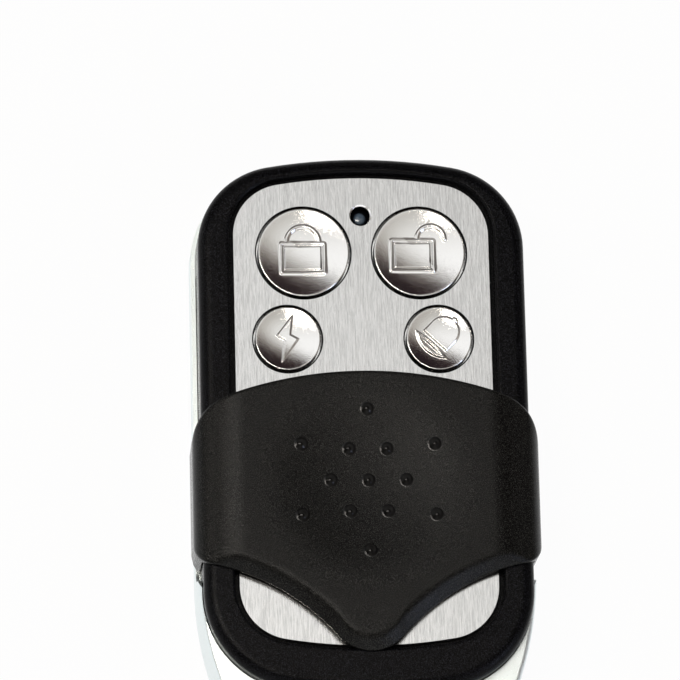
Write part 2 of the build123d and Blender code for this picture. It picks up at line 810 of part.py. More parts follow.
def lamp_leads():
    """The lamp's two square leads through the board."""
    low = board_bottom_z - pin_below_board
    xs = [side * lamp_lead_pitch / 2 for side in (-1, 1)]
    return Compound(children=[block(lead_side, lead_side, low, lamp_base_z, x, lamp_y) for x in xs])


def board_outline():
    """The board's outline: the hollow of the case, cut off above the battery and notched at the bosses."""
    outline = case_outline(front_wall + board_clearance)
    outline = outline & Pos(0, board_end_y + case_length / 2) * Rectangle(2 * half_case, case_length)
    for x, y in boss_places():
        outline -= Pos(x, y) * Circle(boss_diameter / 2 + board_boss_gap)
    return outline


def circuit_board():
    """The board with its holes for the switch pins and the lamp's leads."""
    board = prism(board_outline(), board_bottom_z, board_top_z)
    for key_x, key_y, diameter, dish in KEYS.values():
        for x, y in switch_pin_places(key_x, key_y):
            board -= disc(pin_width + 2 * hole_slack, board_bottom_z, board_top_z, x, y)
    for side in (-1, 1):
        x = side * lamp_lead_pitch / 2
        board -= disc(lead_side * sqrt(2) + hole_slack, board_bottom_z, board_top_z, x, lamp_y)
    return board


def spread(lengths):
    """Middles, along Y, of parts in one column of the board, with equal gaps between them."""
    gap = (board_parts_length - sum(lengths)) / (len(lengths) + 1)
    middles = []
    edge_y = row_y
    for length in lengths:
        middles.append(edge_y - gap - length / 2)
        edge_y -= gap + length
    return middles


chip_reach = chip_width + 2 * lead_reach
resonator_reach = resonator_diameter + 2 * resonator_flange_reach
left_column = spread([chip_reach, crystal_width, passive_length, passive_length])
right_column = spread([chip_reach, resonator_reach])
resonator_x = board_post_x - board_post_diameter / 2 - part_gap - resonator_reach / 2
encoder_place = (encoder_x, left_column[0])
memory_place = (memory_x, right_column[0])
resonator_place = (resonator_x, right_column[1])
crystal_place = (crystal_x, left_column[1])
transistor_place = (transistor_x, left_column[2])
first_resistor = (passive_from_post - board_post_x, left_column[2])
first_capacitor = (first_capacitor_x, left_column[3])


def chip(place, pairs):
    """A moulded chip lying across the board, a little above it."""
    x, y = place
    length = pairs * lead_pitch
    bottom = board_top_z + chip_standoff
    body = block(length, chip_width, bottom, bottom + chip_height, x, y)
    body = chamfer(body.edges().group_by(Axis.Z)[-1], chip_chamfer)
    mark_x = x - length / 2 + lead_pitch / 2
    mark_y = y - chip_width / 2 + lead_pitch / 2
    top = bottom + chip_height
    return body - disc(lead_width, top - lead_thickness / 2, top, mark_x, mark_y)


def chip_leads(place, pairs):
    """Bent leads along both long sides of a chip: out of the body, down, and flat on the board."""
    x, y = place
    leads = []
    knee_z = board_top_z + chip_standoff + chip_height / 2
    for index in range(pairs):
        lead_x = x + (index - (pairs - 1) / 2) * lead_pitch
        for side in (-1, 1):
            edge = y + side * chip_width / 2
            foot_y = edge + side * lead_reach
            knee_y = edge + side * lead_reach / 2
            out_y = (edge + knee_y) / 2
            out = block(lead_width, lead_reach / 2, knee_z - lead_thickness, knee_z, lead_x, out_y)
            down_y = knee_y - side * lead_thickness / 2
            down = block(lead_width, lead_thickness, board_top_z, knee_z, lead_x, down_y)
            foot_z = board_top_z + lead_thickness
            foot = block(lead_width, lead_reach / 2, board_top_z, foot_z, lead_x, (knee_y + foot_y) / 2)
            leads.append(out + down + foot)
    return Compound(children=leads)


def resonator():
    """Round metal can of the transmitter's resonator, on its flange."""
    x, y = resonator_place
    can = disc(resonator_diameter, board_top_z, board_top_z + resonator_height, x, y)
    can = fillet(can.edges().sort_by(Axis.Z)[-1], can_round)
    return can + disc(resonator_reach, board_top_z, board_top_z + resonator_flange_thickness, x, y)


def crystal():
    """Flat oval metal can of the clock crystal."""
    outline = Pos(*crystal_place) * SlotOverall(crystal_length, crystal_width)
    can = prism(outline, board_top_z, board_top_z + crystal_height)
    return fillet(can.faces().sort_by(Axis.Z)[-1].edges(), can_round)


def transistor():
    """Small transmitter transistor."""
    x, y = transistor_place
    body = block(transistor_length, transistor_width, board_top_z, board_top_z + transistor_height, x, y)
    return chamfer(body.edges().group_by(Axis.Z)[-1], lead_thickness)


def passive_row(first, count):
    """A row of small chip parts across the board."""
    x, y = first
    top = board_top_z + passive_height
    parts = []
    for index in range(count):
        part_x = x + index * passive_pitch
        parts.append(block(passive_width, passive_length, board_top_z, top, part_x, y))
    return Compound(children=parts)


def antenna_trace():
    """Copper strip printed round the sides and top of the board's back, open at the lower end."""
    outer = offset(board_outline(), -trace_inset)
    inner = offset(board_outline(), -trace_inset - trace_width)
    low_y = board_end_y + contact_foot_length
    keep = Pos(0, low_y + case_length / 2) * Rectangle(2 * half_case, case_length)
    return prism((outer - inner) & keep, board_bottom_z - trace_thickness, board_bottom_z)


def cell_cylinder(diameter, x_low, x_high):
    """A round bar along X on the battery's axis."""
    plane = Plane(origin=(x_low, battery_y, battery_z), z_dir=(1, 0, 0))
    return extrude(plane * Circle(diameter / 2), x_high - x_low)


def battery_can():
    """Steel can of the 12 V cell."""
    end = battery_length / 2 - battery_nub_height
    return cell_cylinder(battery_diameter - 2 * sleeve_thickness, -battery_length / 2, end)


def battery_cap():
    """Raised positive end of the cell."""
    end = battery_length / 2
    return cell_cylinder(battery_nub_diameter, end - battery_nub_height, end)


def battery_sleeve():
    """Plastic sleeve shrunk round the can."""
    low = -battery_length / 2 + sleeve_setback
    high = battery_length / 2 - battery_nub_height
    sleeve = cell_cylinder(battery_diameter, low, high)
    return sleeve - cell_cylinder(battery_diameter - 2 * sleeve_thickness, low, high)


def battery_contact(side):
    """Bent leaf: a foot on the board and an upright spring beside the end of the cell."""
    foot_y = board_end_y + contact_foot_length / 2
    leaf_low_y = battery_y - battery_nub_diameter / 2
    leaf_high_y = board_end_y + contact_foot_length
    leaf_x = side * (contact_x + contact_thickness / 2)
    leaf_length = leaf_high_y - leaf_low_y
    leaf_z = board_top_z + contact_height
    leaf = block(contact_thickness, leaf_length, board_top_z, leaf_z, leaf_x, (leaf_low_y + leaf_high_y) / 2)
    foot_x = side * (contact_x + contact_thickness - contact_foot / 2)
    foot_z = board_top_z + contact_thickness
    return leaf + block(contact_foot, contact_foot_length, board_top_z, foot_z, foot_x, foot_y)


def case_screws():
    """Four self-tapping screws with slotted pan heads, sunk in the back."""
    screws = []
    head_top = screw_head_depth + screw_head_height
    for x, y in boss_places():
        head = disc(screw_head_diameter, screw_head_depth, head_top, x, y)
        head = fillet(head.edges().sort_by(Axis.Z)[0], screw_head_round)
        slot_top = screw_head_depth + screw_slot_depth
        head -= block(screw_head_diameter, screw_slot_width, screw_head_depth, slot_top, x, y)
        shank = disc(screw_diameter, head_top, head_top + screw_length, x, y)
        shank = chamfer(shank.edges().sort_by(Axis.Z)[-1], screw_point)
        screws.append(head + shank)
    return Compound(children=screws)


def all_parts():
    """Every node of the fob by name."""
    parts = {
        "front_shell": front_shell(),
        "rear_shell": rear_shell(),
        "face_plate": face_plate(),
        "plate_film": plate_film(),
        "slide_cover": slide_cover(),
        "indicator_lamp": lamp(),
        "lamp_leads": lamp_leads(),
        "circuit_board": circuit_board(),
        "antenna_trace": antenna_trace(),
        "encoder_chip": chip(encoder_place, encoder_lead_pairs),
        "encoder_leads": chip_leads(encoder_place, encoder_lead_pairs),
        "memory_chip": chip(memory_place, memory_lead_pairs),
        "memory_leads": chip_leads(memory_place, memory_lead_pairs),
        "resonator": resonator(),
        "crystal": crystal(),
        "transistor": transistor(),
        "resistors": passive_row(first_resistor, 4),
        "capacitors": passive_row(first_capacitor, 5),
        "switch_pins": switch_pins(),
        "battery_can": battery_can(),
        "battery_cap": battery_cap(),
        "battery_sleeve": battery_sleeve(),
        "positive_contact": battery_contact(1),
        "negative_contact": battery_contact(-1),
        "case_screws": case_screws(),
    }
    for name, (x, y, diameter, dish) in KEYS.items():
        parts[name + "_key"] = key_cap(name)
        parts[name + "_switch_base"] = switch_base(x, y)
        parts[name + "_switch_cover"] = switch_cover(x, y)
        parts[name + "_switch_dome"] = switch_dome(x, y)
        parts[name + "_plunger"] = switch_plunger(x, y)
    return parts


os.makedirs("parts", exist_ok=True)
for part_name, part in all_parts().items():
    export_step(part, os.path.join("parts", part_name + ".step"))
print("slide travel", round(slide_travel, 3), "eye middle y", round(tail_end_y + eye_bar + eye_width / 2, 3))
print("case top and bottom y", case_top_y, case_bottom_y, "tail end y", tail_end_y)
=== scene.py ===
# %% [markdown]
# # A sliding-cover key fob in Blender
#
# The fob's frame, with every size and joint, comes from a CAD model that is loaded first and never
# changed. This notebook gives its parts their finishes. It also makes three kinds of piece anew,
# because their soft shapes are what the eye sees most: the sliding cover, the dots in its thumb
# dish, and the four key caps.
#
# All the numbers below are millimetres. Blender works in metres, so a mesh is scaled once, when its
# points are handed over.

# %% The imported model
import json
from math import cos, pi, radians, sin

import bpy
import numpy as np
from mathutils import Matrix, Vector


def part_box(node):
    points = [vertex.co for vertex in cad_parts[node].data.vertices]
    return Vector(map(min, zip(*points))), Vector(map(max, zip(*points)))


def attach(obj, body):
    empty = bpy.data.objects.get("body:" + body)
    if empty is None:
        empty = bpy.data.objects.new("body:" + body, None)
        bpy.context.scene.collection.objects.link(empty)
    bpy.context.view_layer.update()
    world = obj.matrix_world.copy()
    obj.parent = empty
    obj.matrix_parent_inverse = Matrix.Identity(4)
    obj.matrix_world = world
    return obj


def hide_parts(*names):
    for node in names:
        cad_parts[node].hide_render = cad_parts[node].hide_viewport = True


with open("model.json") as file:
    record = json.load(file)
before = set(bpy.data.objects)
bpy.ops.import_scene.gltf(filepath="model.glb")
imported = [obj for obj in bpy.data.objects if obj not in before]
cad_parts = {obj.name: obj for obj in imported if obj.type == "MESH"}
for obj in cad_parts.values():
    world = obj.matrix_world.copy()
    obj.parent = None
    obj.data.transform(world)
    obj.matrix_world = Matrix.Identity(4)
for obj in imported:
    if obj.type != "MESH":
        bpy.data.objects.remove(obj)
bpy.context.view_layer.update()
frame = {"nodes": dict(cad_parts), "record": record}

MM = 0.001

# %% [markdown]
# ## The camera
#
# The picture is a product photograph, taken from above with a long lens. The keys and the plate's
# edges fix the angles: the camera leans 15.4 degrees towards the tail and 4.8 degrees to the left,
# and is turned by a little over one degree. At 600 mm a lens of about 300 mm gives 9.44 pixels to a
# millimetre of the face.

# %% Camera
lean, side_turn, roll = radians(15.4), radians(4.8), radians(-1.4)
pixels_per_mm, picture_side, distance, sensor_width = 9.44, 680, 600.0, 36.0
aim = Vector((-2.2, 13.75, 8.0))

back = Vector((-sin(side_turn), -sin(lean) * cos(side_turn), cos(lean) * cos(side_turn)))
level = Vector((0, 1, 0)).cross(back).normalized()
upright = back.cross(level)
right = cos(roll) * level + sin(roll) * upright
up = cos(roll) * upright - sin(roll) * level

camera_data = bpy.data.cameras.new("camera")
camera_data.sensor_width = sensor_width
camera_data.lens = pixels_per_mm * distance / picture_side * sensor_width
camera = bpy.data.objects.new("camera", camera_data)
bpy.context.collection.objects.link(camera)
placing = Matrix((right, up, back)).transposed().to_4x4()
placing.translation = (aim + back * distance) * MM
camera.matrix_world = placing
bpy.context.scene.camera = camera
print("lens", round(camera_data.lens), "mm")

# %% [markdown]
# ## Small tools for the finishes
#
# A colour is written as its sRGB hex value, the number a colour picker shows, and turned to the
# linear value that the renderer needs. A node is added with its settings and its inputs in one
# call, so that a material reads as a short list.

# %% Colours and nodes
def linear(code):
    """Linear RGBA of a hex colour: each sRGB part c becomes ((c + 0.055) / 1.055) to the power 2.4."""
    parts = np.array([int(code[i:i + 2], 16) for i in (1, 3, 5)]) / 255
    curved = ((parts + 0.055) / 1.055) ** 2.4
    return (*np.where(parts > 0.04045, curved, parts / 12.92).tolist(), 1.0)


def add(tree, kind, inputs=(), **settings):
    """Adds a node. Its inputs come in the order of its sockets, or as a dictionary of sockets.

    Each input is a value, the output of another node, or a node whose first output is taken.
    """
    node = tree.nodes.new("ShaderNode" + kind)
    for name, value in settings.items():
        setattr(node, name, value)
    for socket, value in inputs.items() if isinstance(inputs, dict) else enumerate(inputs):
        if isinstance(value, bpy.types.Node):
            value = value.outputs[0]
        if isinstance(value, bpy.types.NodeSocket):
            tree.links.new(value, node.inputs[socket])
        else:
            node.inputs[socket].default_value = value
    return node


print("hex #808080 is", round(linear("#808080")[0], 3), "linear")

# %% [markdown]
# Each material has one Principled shader. What is the same all over the surface, such as how
# metallic it is, is set on the shader itself. What varies comes from a pattern, and every pattern is
# measured in millimetres on the object: its space is scaled so that one unit is the pattern's pitch.

# %% Materials and pattern space
def new_material(name, **constants):
    """A material with one Principled shader, its constants set on the shader's own sockets."""
    material = bpy.data.materials.new(name)
    material.use_nodes = True
    shader = material.node_tree.nodes["Principled BSDF"]
    for socket, value in constants.items():
        shader.inputs[socket.replace("_", " ")].default_value = value
    return material, material.node_tree, shader


def pattern_space(tree, pitch_x, pitch_y=None, pitch_z=None):
    """Object coordinates in which one unit is the pattern's pitch, given in millimetres."""
    pitches = (pitch_x, pitch_y or pitch_x, pitch_z or pitch_x)
    place = add(tree, "TexCoord").outputs["Object"]
    return add(tree, "Mapping", {"Vector": place, "Scale": [1 / (pitch * MM) for pitch in pitches]})


print("a pitch of 0.5 mm scales the object's coordinates by", round(1 / (0.5 * MM)))

# %% [markdown]
# A finish has three parts. Two tones of a colour are mixed by a pattern. The roughness swings with
# it. And a height, also made of patterns, is turned into a bump. Steep sides and chamfers can get a
# colour of their own, which paints light and shade by how a surface leans: a dark colour on walls is
# painted shade, and a white one on a chamfer is a painted highlight. A normal's Z tells them apart: it
# is 1 on a level top, 0.7 on a 45 degree chamfer and 0 on a wall. A colour for the walls comes in
# softly from 0.5 down to 0.3, and one for a chamfer from 0.97 down to 0.9.

# %% Tones, steep sides and bump
NOISE_LOW, NOISE_HIGH = 0.3, 0.7
WALL, CHAMFER = (0.3, 0.5), (0.9, 0.97)


def two_tones(tree, pattern, start, end, low, high):
    """A colour between two tones: low where the pattern is under start, high where it is over end."""
    share = add(tree, "MapRange", [pattern, start, end, 0.0, 1.0])
    colours = {0: share, 6: linear(low), 7: linear(high)}
    return add(tree, "Mix", colours, data_type="RGBA").outputs[2]


def on_steep(tree, colour, other, start, end):
    """The colour, replaced by another where the normal's Z is under start, and kept over end."""
    normal = add(tree, "NewGeometry").outputs["Normal"]
    upward = add(tree, "SeparateXYZ", [normal]).outputs[2]
    share = add(tree, "MapRange", [upward, start, end, 1.0, 0.0], interpolation_type="SMOOTHSTEP")
    return add(tree, "Mix", {0: share, 6: colour, 7: linear(other)}, data_type="RGBA").outputs[2]


def finish_surface(tree, shader, colour, pattern, roughness, height, depth):
    """Links the colour, the roughness that swings with the pattern, and the bump, depth mm deep."""
    rough = add(tree, "MapRange", [pattern, NOISE_LOW, NOISE_HIGH, *roughness])
    bump = add(tree, "Bump", {"Height": height, "Distance": depth * MM, "Strength": 1.0})
    tree.links.new(colour, shader.inputs["Base Color"])
    tree.links.new(rough.outputs[0], shader.inputs["Roughness"])
    tree.links.new(bump.outputs[0], shader.inputs["Normal"])


print("a noise lies mostly between", NOISE_LOW, "and", NOISE_HIGH)

# %% [markdown]
# ## Black ABS, spark-eroded
#
# The front shell and the cover are moulded in black ABS. The mould was spark-eroded, which leaves a
# fine frosted grain, and the plastic looks dark and dull, with a sparkle of tiny glints. These glints
# are painted into the colour as paler specks: painted highlights, laid by the grain noise. The real
# grain is near 0.1 mm; it is drawn at 0.36 mm so that it shows at this size. A second noise three
# times as wide stands for the mould's slight unevenness. The dots are the same plastic, but a thumb
# has rubbed them smooth, so they are glossier and have a clear highlight. Their painted specks are
# darker too, which darkens the dots as painted shade and deepens the dark ring round each one.
#
# A picture of the grain could be laid on the parts. Noise in object coordinates was chosen because
# it needs no unwrapping and never repeats.

# %% Black ABS
grain_pitch, swell_pitch, swell_share = 0.36, 1.1, 0.6
painted_glint_start, painted_glint_end, gloss_swing = 0.55, 0.64, 0.08


def black_plastic(name, painted_glint_tone, roughness, grain_depth, shine):
    """Frosted black ABS: fine noise makes pits and painted glints as paler specks, wide noise a swell.
    """
    material, tree, shader = new_material(name, Specular_IOR_Level=shine)
    grain = add(tree, "TexNoise", {"Vector": pattern_space(tree, grain_pitch), "Detail": 1.0})
    swell = add(tree, "TexNoise", {"Vector": pattern_space(tree, swell_pitch), "Detail": 1.0})
    height = add(tree, "Math", [swell, swell_share, grain], operation="MULTIPLY_ADD")
    # Paler specks: painted glints, the grain's sparkle laid into the colour.
    colour = two_tones(tree, grain, painted_glint_start, painted_glint_end, "#000000", painted_glint_tone)
    swing = (roughness + gloss_swing, roughness - gloss_swing)
    finish_surface(tree, shader, colour, grain, swing, height, grain_depth)
    return material


FINISHES = {}
# Each second colour is the painted glint tone; the dots' darker one also darkens them as painted shade.
FINISHES["front_shell"] = black_plastic("black_abs_shell_spark_eroded", "#26262b", 0.2, 0.02, 0.07)
FINISHES["black_abs"] = black_plastic("black_abs_cover_spark_eroded", "#343431", 0.16, 0.026, 0.17)
FINISHES["dots"] = black_plastic("black_abs_dots_rubbed_smooth", "#141413", 0.14, 0.01, 0.32)
print("grain", grain_pitch, "mm for", list(FINISHES))

# %% [markdown]
# ## Brushed aluminium plate
#
# The face plate is rolled aluminium, brushed along the fob with an abrasive belt. The scratches are
# long and straight, and they give it a silky look with fine lines. Real ones are some hundredths of
# a millimetre apart; they are drawn 0.2 mm apart so that they show. The chamfer round the plate was
# cut after the brushing; its shine is a painted highlight, a white colour given wherever the surface
# leans like a chamfer. The punched walls of its holes are rough and in shade, and that shade is
# painted on them, and on every other steep side, as a dark colour.
#
# Anisotropic shading could give the silky look alone, but not the single lines. So noise that is
# stretched 25 times along Y draws them, in the colour, the roughness and the bump, and a wider band
# noise groups them.

# %% Brushed aluminium
scratch_space, band_space, band_share, scratch_depth = (0.2, 5.0, 5.0), (0.8, 12.0, 12.0), 0.8, 0.008

plate, tree, shader = new_material("aluminium_plate_brushed", Metallic=1.0)
scratch = add(tree, "TexNoise", {"Vector": pattern_space(tree, *scratch_space), "Detail": 3.0})
band = add(tree, "TexNoise", {"Vector": pattern_space(tree, *band_space), "Detail": 2.0})
brushing = add(tree, "Math", [band, band_share, scratch], operation="MULTIPLY_ADD")
metal = two_tones(tree, brushing, 0.72, 1.0, "#d1d1d0", "#e8e8e7")
# Painted highlight: white wherever the surface leans like the chamfer.
metal = on_steep(tree, metal, "#ffffff", *CHAMFER)
# Painted shade: near black on the holes' walls and every other steep side.
metal = on_steep(tree, metal, "#2c2c2c", *WALL)
finish_surface(tree, shader, metal, scratch, (0.13, 0.19), brushing, scratch_depth)
FINISHES["face_plate"] = plate
print("scratches", scratch_space[0], "mm apart and", scratch_space[1], "mm long")

# %% [markdown]
# ## Plating on moulded ABS
#
# The key caps and the rear shell are plated ABS. The coat is thin and copies the moulding under it,
# so its mirror has a slight orange peel, a waviness of some tenths of a millimetre. On the caps it
# is bright: they mirror the room almost sharply, and the peel frays the edges of what they mirror.
# Their steep sides are painted nearly black: painted shade from the gap round each key, which draws
# a thin dark line round it. The shell's coat is satin, like silver paint: it is pale and a little
# cool, and shows only broad, soft reflections.
# A perfect mirror would be simpler for both, but it would look like polished steel.

# %% Plated ABS
def plating(name, tones, roughness, peel_pitch, peel_depth, painted_side_shade=None):
    """Plated ABS: a metal with a shallow, rounded noise as bump, and painted side shade if asked."""
    material, tree, shader = new_material(name, Metallic=1.0)
    peel = add(tree, "TexNoise", {"Vector": pattern_space(tree, peel_pitch), "Detail": 1.5})
    colour = two_tones(tree, peel, NOISE_LOW, NOISE_HIGH, *tones)
    if painted_side_shade:
        # The side colour is painted shade: the shade of the gap round each key, laid on its steep
        # sides.
        colour = on_steep(tree, colour, painted_side_shade, *WALL)
    finish_surface(tree, shader, colour, peel, (roughness * 0.7, roughness * 1.3), peel, peel_depth)
    return material


bright_tones, satin_tones = ("#f3f2f0", "#f9f8f6"), ("#ebf3f3", "#f1f9f9")
# 101010 is the painted shade on the caps' steep sides.
FINISHES["plated_key"] = plating("plated_abs_key_bright", bright_tones, 0.05, 0.4, 0.007, "#101010")
FINISHES["rear_shell"] = plating("plated_abs_shell_satin", satin_tones, 0.38, 0.5, 0.02)
print("finishes outside:", list(FINISHES))

# %% [markdown]
# ## The parts inside
#
# The case hides these parts, but they are seen when the model is taken apart. Each row below gives a
# material's two tones, how metallic and rough it is, the pitch of its grain in millimetres and the
# grain's depth in thousandths of one.
#
# Moulded nylon and epoxy are dull and nearly black. The board's mask is a thin, glossy green
# lacquer. Tin, nickel and steel are pale metals with soft highlights, etched copper is reddish, and
# bronze shows a little yellow through its nickel. Fired ceramic is brown and dull. The sleeve of
# the cell is shrunk on, so it is smooth, blue and faintly wavy. Where the real grain is too fine to
# show, as on moulded epoxy and drawn metal, it is drawn coarser.

# %% Inner materials
INNER = {
    "film": ("acrylic_film_translucent", "#dcd9cf", "#e8e6dd", 0, 0.45, 0.6, 2),
    "lamp_epoxy": ("epoxy_lamp_cast_clear", "#5a6a7c", "#66788a", 0, 0.12, 1.0, 1),
    "tinned_metal": ("tinned_brass_stamped", "#b9b9b6", "#cfcfcb", 1, 0.32, 0.3, 4),
    "board_laminate": ("glass_laminate_solder_mask", "#0f4a25", "#1a6132", 0, 0.28, 0.7, 6),
    "copper": ("copper_foil_etched", "#b8734a", "#cf8a5c", 1, 0.35, 0.3, 3),
    "chip_epoxy": ("epoxy_moulding_compound_matt", "#1c1c1d", "#2a2a2b", 0, 0.6, 0.15, 8),
    "can_metal": ("nickel_can_drawn", "#b4b2ab", "#c8c6bf", 1, 0.3, 0.5, 3),
    "part_ceramic": ("ceramic_chip_fired", "#6e5138", "#8a6a4c", 0, 0.5, 0.2, 5),
    "switch_nylon": ("nylon_glass_filled_moulded", "#1b1b1c", "#29292a", 0, 0.5, 0.2, 8),
    "plunger_nylon": ("nylon_plunger_moulded", "#3a3a3b", "#474748", 0, 0.42, 0.3, 4),
    "spring_steel": ("stainless_spring_rolled", "#c4c4c1", "#d6d6d3", 1, 0.2, 0.3, 2),
    "battery_steel": ("nickel_plated_steel_drawn", "#bdbdbb", "#d0d0ce", 1, 0.25, 0.4, 2),
    "battery_film": ("pvc_sleeve_shrunk", "#1b2f6b", "#24397a", 0, 0.3, 1.2, 8),
    "contact_metal": ("phosphor_bronze_nickel_plated", "#c4bfae", "#d3cfc0", 1, 0.28, 0.4, 3),
    "screw_steel": ("zinc_plated_steel_turned", "#a9adb2", "#bec2c6", 1, 0.34, 0.25, 5),
}


def inner_material(name, low, high, metallic, roughness, pitch, depth):
    """A grained material: one noise mixes the tones, swings the roughness and lifts the bump."""
    material, tree, shader = new_material(name, Metallic=float(metallic))
    grain = add(tree, "TexNoise", {"Vector": pattern_space(tree, pitch), "Detail": 2.0})
    tone = two_tones(tree, grain, NOISE_LOW, NOISE_HIGH, low, high)
    swing = (roughness - 0.05, roughness + 0.1)
    finish_surface(tree, shader, tone, grain, swing, grain, depth / 1000)
    return material


for slot, row in INNER.items():
    FINISHES[slot] = inner_material(*row)
print(len(FINISHES), "materials")

# %% [markdown]
# The lamp is the one inner part that shows, through its hole in the plate. It is cast in tinted
# epoxy, so its dome is as glossy as varnish, and a coat on the shader gives it that. The dome's rim
# sees only the black wall round it, so near black is painted on it where it leans: painted shade
# and a painted reflection of that wall.

# %% Lamp lens
lens_tree = FINISHES["lamp_epoxy"].node_tree
lens_inputs = lens_tree.nodes["Principled BSDF"].inputs
lens_inputs["Coat Weight"].default_value = 1.0
lens_tone = lens_inputs["Base Color"].links[0].from_socket
# Near black on the dome's leaning rim: painted shade and reflection of the black wall round it.
lens_tree.links.new(on_steep(lens_tree, lens_tone, "#0b0e13", 0.88, 0.97), lens_inputs["Base Color"])
print("lamp lens coated")

# %% [markdown]
# ## Giving the CAD parts their finishes
#
# The record names a material slot for every node. The two shells and the plate have a finish of
# their own; all others take the one of their slot.

# %% Finishes of the CAD nodes
slot_of = {part["node"]: part["material_slot"] for part in frame["record"]["subparts"]}
for node, shape in frame["nodes"].items():
    shape.data.materials.clear()
    shape.data.materials.append(FINISHES.get(node) or FINISHES[slot_of[node]])
print("slots", sorted(set(slot_of.values())))

# %% [markdown]
# ## Meshes from grids of points
#
# Every new piece is a grid of points, worked out as whole numpy arrays. Neighbouring points are
# joined by four-sided faces. The sign of the enclosed volume tells whether the faces point outwards,
# and counting the uses of each edge tells whether the piece is closed.

# %% Grid helpers
def grid_faces(index, wrap=False):
    """Four-sided faces between neighbours in an array of point numbers.

    With wrap, its last column is joined to its first.
    """
    ahead = np.roll(index, -1, axis=1) if wrap else index[:, 1:]
    here = index if wrap else index[:, :-1]
    return np.stack([here[:-1], ahead[:-1], ahead[1:], here[1:]], axis=-1).reshape(-1, 4)


def make_piece(name, points, quads, rings, finish, sharp):
    """A mesh object from points in mm, four-sided faces, and rings of points for larger faces.

    Its volume is a sixth of the sum of a . (b x c) over all triangles abc. If that is negative, the
    faces point inwards, and all are turned. Edges with more than sharp degrees stay crisp.
    """
    rings = [np.array(ring) for ring in rings]
    fans = [np.stack([np.full(len(r) - 2, r[0]), r[1:-1], r[2:]], axis=-1) for r in rings]
    triangles = np.concatenate([quads[:, [0, 1, 2]], quads[:, [0, 2, 3]]] + fans)
    a, b, c = np.moveaxis(points[triangles], 1, 0)
    volume = np.einsum("ij,ij->i", a, np.cross(b, c)).sum() / 6
    faces = quads.tolist() + [ring.tolist() for ring in rings]
    if volume < 0:
        faces = [face[::-1] for face in faces]
    mesh = bpy.data.meshes.new(name)
    mesh.from_pydata((points * MM).tolist(), [], faces)
    mesh.materials.append(finish)
    mesh.shade_smooth()
    mesh.set_sharp_from_angle(angle=radians(sharp))
    piece = bpy.data.objects.new(name, mesh)
    bpy.context.collection.objects.link(piece)
    pairs = np.sort(np.concatenate([triangles[:, pair] for pair in ([0, 1], [1, 2], [2, 0])]), axis=1)
    uses = np.unique(pairs, axis=0, return_counts=True)[1]
    open_edges = (uses == 1).sum()
    print(name, len(triangles), "triangles,", round(abs(volume), 1), "mm3, open edges", open_edges)
    return piece


def soft_min(a, b, reach):
    """The smaller of two heights, blended over reach where they are nearly equal."""
    share = np.clip(0.5 + 0.5 * (b - a) / reach, 0, 1)
    return a * share + b * (1 - share) - reach * share * (1 - share)


def root(value):
    """Square root that takes a slightly negative value as zero."""
    return np.sqrt(np.maximum(value, 0))


print("2 rows of 3 points give", len(grid_faces(np.arange(6).reshape(2, 3))), "faces")

# %% [markdown]
# ## The sliding cover
#
# The cover is one moulding: a flat skin over the face, shoulders that slope to the sides, and side
# walls with lips that run in the case's grooves. Its lower edge is cut in two hollow curves that
# meet in a round tip, like a bat's wings, and carries a wide bevel. It could be made by cutting a
# block with curves, but the bevel's crease and the dish should be slightly soft, as a moulding's
# are. So its height is worked out as a function of place: across the cover by a profile, along it by
# the distance from the lower and the upper edge.
#
# The lower edge is three circles that run into each other. The wing's circle passes through the end
# of the side and touches the tip's circle. Its centre lies a little beyond the side, so its radius
# is the root of a quadratic equation: the distance between the two centres is the two radii added.

# %% Lower edge
slide_low, slide_high = [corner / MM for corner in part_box("slide_cover")]
half, tip_y, apex_y, foot_z = slide_high.x, slide_low.y, slide_high.y, slide_low.z
tip_round, wing_rise, wing_beyond, wing_corner = 4.5, 9.6, 2.8, 2.4

wing_x, rise = half + wing_beyond, wing_rise - tip_round
known = wing_x**2 - wing_beyond**2 + rise**2 - tip_round**2
square_part, straight_part = 4 * (rise**2 - tip_round**2), 4 * known * tip_round
fixed_part = known**2 + (2 * rise * wing_beyond) ** 2
wing_radius = np.sqrt(straight_part**2 + 4 * square_part * fixed_part) - straight_part
wing_radius /= 2 * square_part
wing_y = tip_y + wing_rise - np.sqrt(wing_radius**2 - wing_beyond**2)
tip_centre_y = tip_y + tip_round
touch_x = tip_round * wing_x / np.hypot(wing_x, tip_centre_y - wing_y)
corner_x = half - wing_corner
corner_y = wing_y + np.sqrt((wing_radius + wing_corner) ** 2 - (wing_x - corner_x) ** 2)
corner_touch_x = corner_x + wing_corner * (wing_x - corner_x) / (wing_radius + wing_corner)


def lower_edge(x):
    """y of the lower edge: the tip's circle, then the wing's hollow one, then the corner's."""
    x = np.abs(x)
    tip = tip_centre_y - root(tip_round**2 - x**2)
    hollow = wing_y + root(wing_radius**2 - (wing_x - x) ** 2)
    corner = corner_y - root(wing_corner**2 - (x - corner_x) ** 2)
    return np.where(x < touch_x, tip, np.where(x < corner_touch_x, hollow, corner))


print("cover", round(2 * half, 2), "by", round(apex_y - tip_y, 2), "mm")
print("wing radius", round(wing_radius, 1), "mm")

# %% [markdown]
# The upper edge is simpler: a bow of large radius, with a rounded corner that touches the bow from
# inside and runs into the side.

# %% Upper edge
bow_radius, top_corner = 42.5, 5.0
bow_y = apex_y - bow_radius
top_corner_x = half - top_corner
top_corner_y = bow_y + np.sqrt((bow_radius - top_corner) ** 2 - top_corner_x**2)
top_touch_x = top_corner_x * bow_radius / (bow_radius - top_corner)


def upper_edge(x):
    """y of the upper edge: the bow, then the corner's circle."""
    x = np.abs(x)
    corner = top_corner_y + root(top_corner**2 - (x - top_corner_x) ** 2)
    return np.where(x < top_touch_x, bow_y + root(bow_radius**2 - x**2), corner)


